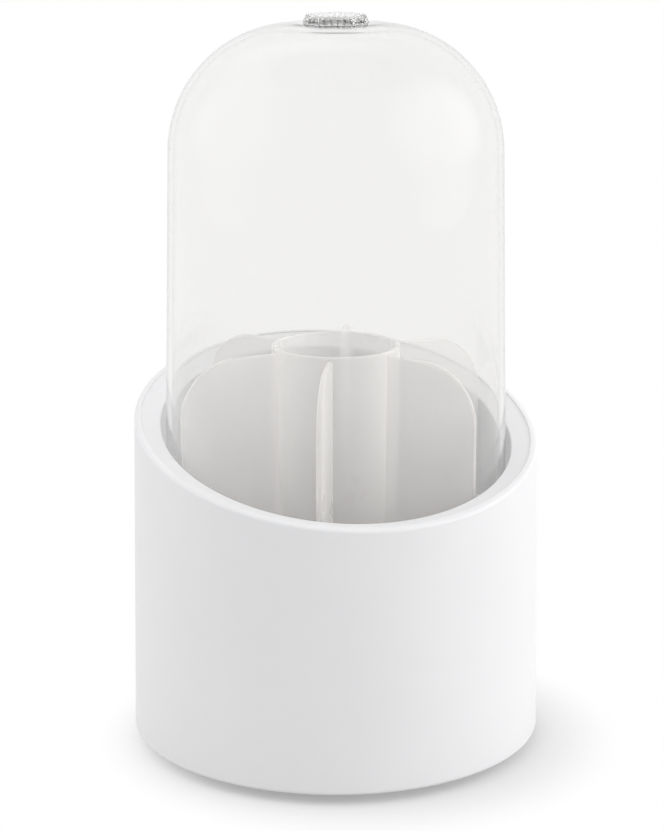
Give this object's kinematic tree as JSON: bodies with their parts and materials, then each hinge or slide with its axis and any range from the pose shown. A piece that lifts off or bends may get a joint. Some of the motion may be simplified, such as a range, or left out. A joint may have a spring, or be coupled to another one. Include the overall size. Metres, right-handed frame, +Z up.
{
  "type": "makeup brush holder",
  "caption": "Round holder for upright brushes: slant-rimmed barrel on a turntable foot, lift-out insert with a cup and fins, and a lift-off clear dome.",
  "frame": {"origin": "on the table under the barrel's axis, in the middle of the pads' undersides", "axes": "+Z up along the barrel's axis; the slanted rim's low side faces -Y"},
  "size_m": [0.1264, 0.1264, 0.2232],
  "materials": {
    "white_shell": "satin moulded white",
    "white_liner": "satin moulded white",
    "frosted_insert": "translucent frosted",
    "clear_dome": "clear polished",
    "foot_plastic": "satin moulded",
    "cage_plastic": "moulded",
    "steel": "zinc plated",
    "pad_rubber": "matte"
  },
  "bodies": {
    "foot": {"turntable_foot": "foot_plastic", "foot_pad_1": "pad_rubber", "foot_pad_2": "pad_rubber", "foot_pad_3": "pad_rubber", "foot_pad_4": "pad_rubber"},
    "ball_ring": {"ball_cage": "cage_plastic", "bearing_balls": "steel"},
    "barrel": {"barrel_shell": "white_shell", "well_liner": "white_liner", "bottom_plate": "white_liner", "plate_screws": "steel", "pivot_screw": "steel", "pivot_washer": "steel"},
    "insert": {"compartment_insert": "frosted_insert"},
    "dome": {"dome_cover": "clear_dome", "dome_knob": "clear_dome"}
  },
  "joints": [
    {"name": "barrel_swivel", "type": "hinge", "parent": "foot", "child": "barrel", "pos_m": [0, 0, 0], "axis": [0, 0, 1], "continuous": true},
    {"name": "cage_orbit", "type": "hinge", "parent": "foot", "child": "ball_ring", "pos_m": [0, 0, 0], "axis": [0, 0, 1], "continuous": true},
    {"name": "insert_lift", "type": "slide", "parent": "barrel", "child": "insert", "axis": [0, 0, 1], "range_m": [0, 0.105]},
    {"name": "dome_lift", "type": "slide", "parent": "insert", "child": "dome", "axis": [0, 0, 1], "range_m": [0, 0.065]}
  ],
  "couplings": [
    {"joint": "cage_orbit", "follows": "barrel_swivel", "ratio": 0.5}
  ]
}
